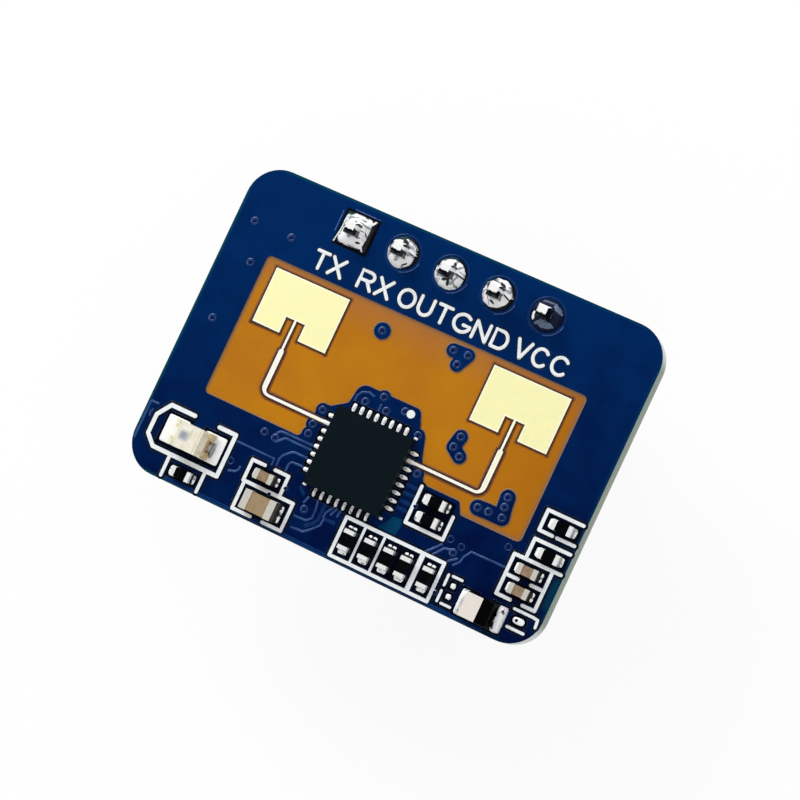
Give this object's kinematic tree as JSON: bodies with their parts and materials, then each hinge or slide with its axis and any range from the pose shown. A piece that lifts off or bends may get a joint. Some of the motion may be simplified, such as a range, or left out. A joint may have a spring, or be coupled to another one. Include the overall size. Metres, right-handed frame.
{
  "type": "microwave radar sensor module",
  "caption": "Small blue circuit board with two patch antennas, a square radar chip, an indicator LED and a row of header pins soldered in from behind.",
  "frame": {"origin": "middle header pin's axis, in the plane of the housing's underside, where the module sits on the board it plugs into", "axes": "+X along the board towards its last pin, +Z out of the antenna side, the pins point along -Z"},
  "size_m": [0.022, 0.016, 0.011],
  "materials": {
    "laminate": "woven glass-epoxy, amber where bare, grey-green at its sawn edge",
    "copper": "rolled foil",
    "gold_plating": "thin immersion gold over nickel",
    "antenna_gold": "thin immersion gold, pale and satin",
    "solder_mask": "deep blue, glossy",
    "white_ink": "screen printed",
    "solder": "bright reflowed solder",
    "tin_plating": "satin tin",
    "chip_resin": "moulded, fine matt",
    "led_base": "white resin plate",
    "led_die": "polished die",
    "led_resin": "milky clear resin",
    "header_plastic": "glass-filled nylon",
    "pin_gold": "flash gold",
    "resistor_glaze": "black glaze over white ceramic",
    "capacitor_ceramic": "fired, satin",
    "large_ceramic": "fired, satin"
  },
  "bodies": {
    "root": {"laminate": "laminate", "ground_plane": "copper", "vias": "copper", "plated_holes": "gold_plating", "solder_mask_front": "solder_mask", "solder_mask_rear": "solder_mask", "silkscreen": "white_ink", "antenna_left": "antenna_gold", "antenna_right": "antenna_gold", "chip_lands": "gold_plating", "component_lands": "gold_plating", "chip_solder": "solder", "reflow_solder": "solder", "radar_chip_body": "chip_resin", "radar_chip_leads": "tin_plating", "indicator_led_base": "led_base", "indicator_led_ends": "tin_plating", "indicator_led_die": "led_die", "indicator_led_lens": "led_resin", "diode_body": "chip_resin", "diode_band": "white_ink", "diode_leads": "tin_plating", "pin_solder": "solder", "header_housing": "header_plastic", "header_pin_1": "pin_gold", "header_pin_2": "pin_gold", "header_pin_3": "pin_gold", "header_pin_4": "pin_gold", "header_pin_5": "pin_gold", "led_resistor_body": "resistor_glaze", "led_resistor_ends": "tin_plating", "row_resistor_1_body": "resistor_glaze", "row_resistor_1_ends": "tin_plating", "row_resistor_2_body": "resistor_glaze", "row_resistor_2_ends": "tin_plating", "row_resistor_3_body": "resistor_glaze", "row_resistor_3_ends": "tin_plating", "row_resistor_4_body": "resistor_glaze", "row_resistor_4_ends": "tin_plating", "row_resistor_5_body": "resistor_glaze", "row_resistor_5_ends": "tin_plating", "pair_resistor_1_body": "resistor_glaze", "pair_resistor_1_ends": "tin_plating", "pair_resistor_2_body": "resistor_glaze", "pair_resistor_2_ends": "tin_plating", "side_resistor_1_body": "resistor_glaze", "side_resistor_1_ends": "tin_plating", "side_resistor_2_body": "resistor_glaze", "side_resistor_2_ends": "tin_plating", "side_capacitor_1_body": "capacitor_ceramic", "side_capacitor_1_ends": "tin_plating", "side_capacitor_2_body": "capacitor_ceramic", "side_capacitor_2_ends": "tin_plating", "bypass_capacitor_body": "capacitor_ceramic", "bypass_capacitor_ends": "tin_plating", "supply_capacitor_body": "large_ceramic", "supply_capacitor_ends": "tin_plating"}
  },
  "joints": []
}
